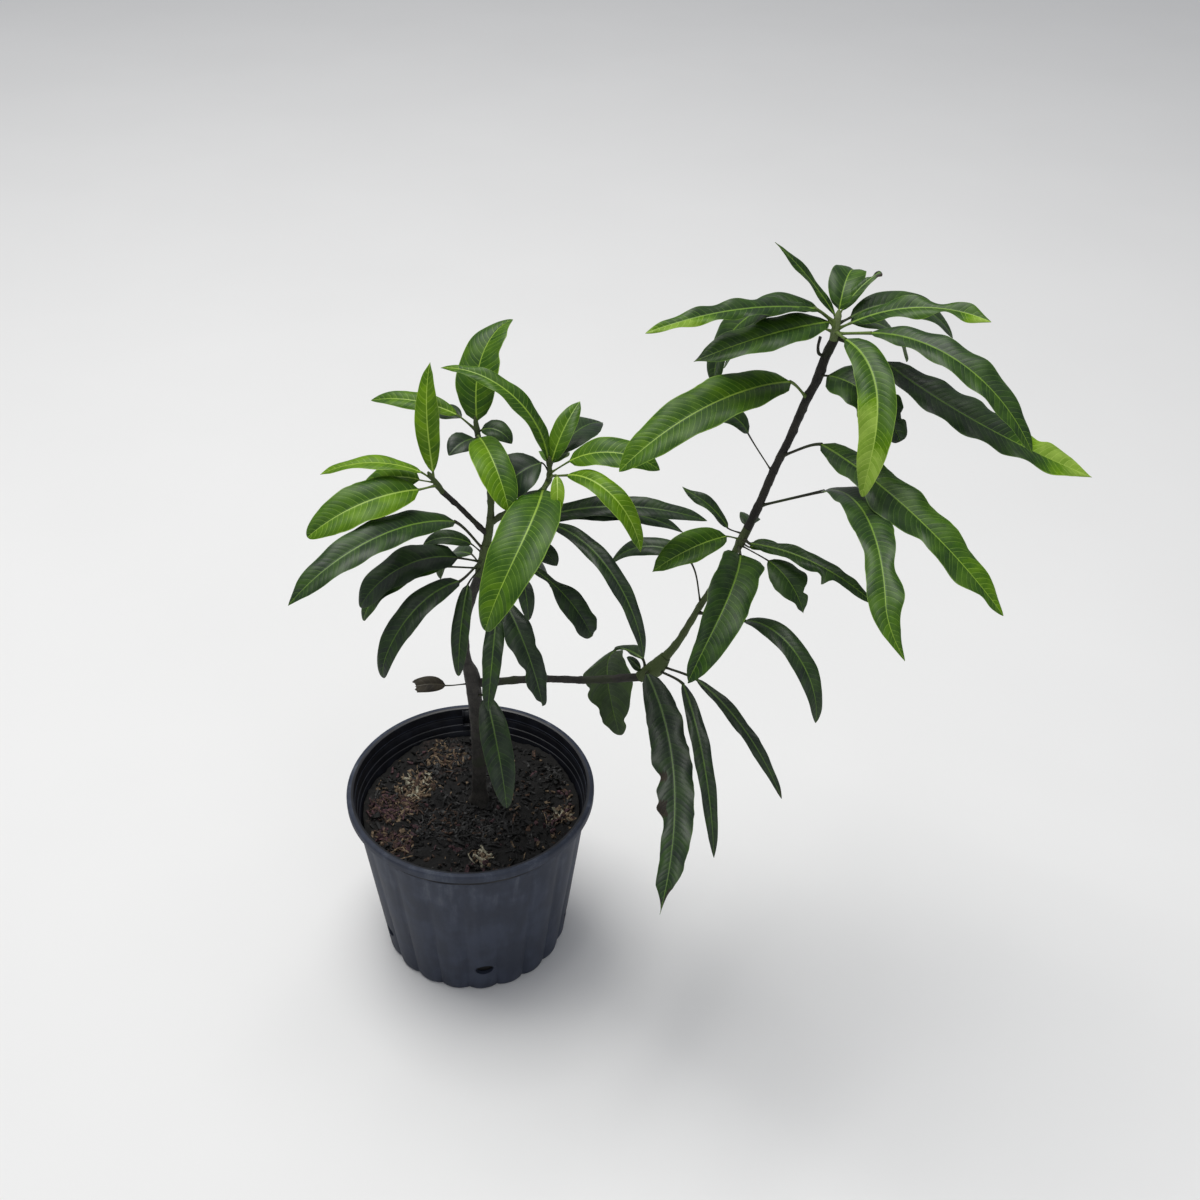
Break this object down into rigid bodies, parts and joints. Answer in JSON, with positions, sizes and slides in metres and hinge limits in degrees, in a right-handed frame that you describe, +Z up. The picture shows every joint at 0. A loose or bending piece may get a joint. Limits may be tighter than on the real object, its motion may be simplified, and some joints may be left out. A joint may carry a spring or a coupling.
{
  "type": "potted mango tree sapling",
  "caption": "Young mango tree in a round fluted nursery pot, with a forked trunk, a long side bough and whorls of long drooping leaves.",
  "frame": {"origin": "centre of the pot's flat underside", "axes": "+Z up out of the pot; +X toward the side on which the long bough grows; -Y toward the side that most leaves face"},
  "size_m": [0.7234, 0.401, 0.8775],
  "materials": {
    "pot": "satin",
    "potting_mix": "matte",
    "bark": "matte",
    "leaf": "satin"
  },
  "bodies": {
    "root": {"pot": "pot", "potting_mix": "potting_mix", "trunk": "bark", "middle_shoot": "bark", "left_shoot": "bark", "right_shoot": "bark", "right_shoot_end": "bark", "low_bough": "bark", "rising_bough": "bark", "long_bough": "bark", "bare_stalk": "bark", "leaves_at_fork": "leaf", "leaves_middle_shoot": "leaf", "leaves_left_shoot": "leaf", "leaves_right_shoot": "leaf", "leaves_right_shoot_end": "leaf", "leaves_at_knuckle": "leaf", "leaves_mid_bough": "leaf", "leaves_bough_end": "leaf", "leaf_long_bough_left_high": "leaf", "leaf_long_bough_left_low": "leaf", "leaf_long_bough_right_high": "leaf", "leaf_long_bough_right_middle": "leaf", "leaf_long_bough_right_low": "leaf", "leaf_rising_bough_right": "leaf", "leaf_rising_bough_left": "leaf", "leaf_over_pot": "leaf", "leaf_torn": "leaf"}
  },
  "joints": []
}
